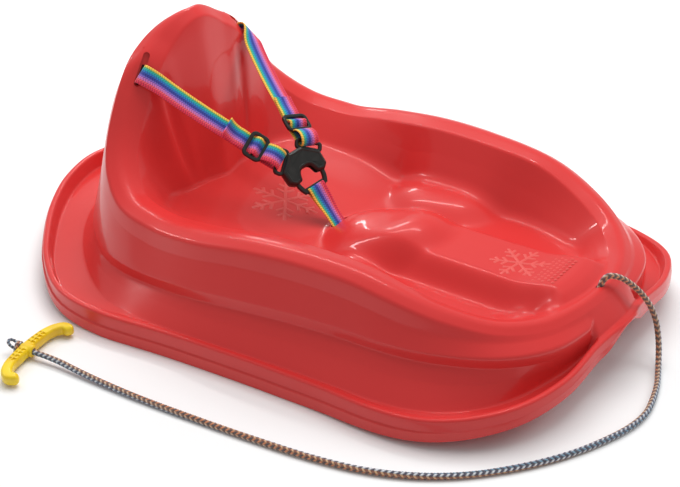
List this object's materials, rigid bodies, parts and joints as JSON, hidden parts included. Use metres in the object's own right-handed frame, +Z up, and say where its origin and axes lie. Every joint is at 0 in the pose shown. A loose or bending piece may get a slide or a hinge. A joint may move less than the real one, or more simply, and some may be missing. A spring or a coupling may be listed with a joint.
{
  "type": "child seat sled",
  "caption": "Moulded plastic child's seat sled with a high back rest, side trays, a three-point belt and a tow rope with a T grip.",
  "frame": {"origin": "on the ground under the middle of the hull, halfway between nose and tail lips", "axes": "+X forward to the nose, +Y to the rider's left, +Z up"},
  "size_m": [0.8624, 0.707, 0.2942],
  "materials": {
    "hull": "glossy moulded polyethylene",
    "webbing": "woven striped webbing",
    "black_plastic": "satin black nylon",
    "rope": "braided cord",
    "handle": "glossy yellow plastic"
  },
  "bodies": {
    "sled": {"hull": "hull", "shoulder_belt_left": "webbing", "shoulder_belt_right": "webbing", "adjuster_left": "black_plastic", "adjuster_right": "black_plastic", "shoulder_rod_left": "black_plastic", "shoulder_rod_right": "black_plastic", "buckle_socket": "black_plastic", "tow_rope": "rope", "pull_handle": "handle", "rope_knot_nose": "rope", "rope_knot_handle": "rope"},
    "plug": {"buckle_prongs": "black_plastic", "crotch_belt": "webbing", "crotch_rod": "black_plastic"}
  },
  "joints": [
    {"name": "buckle_release", "type": "slide", "parent": "sled", "child": "plug", "axis": [0.6545, 0, -0.7561], "range_m": [0, 0.018]}
  ]
}
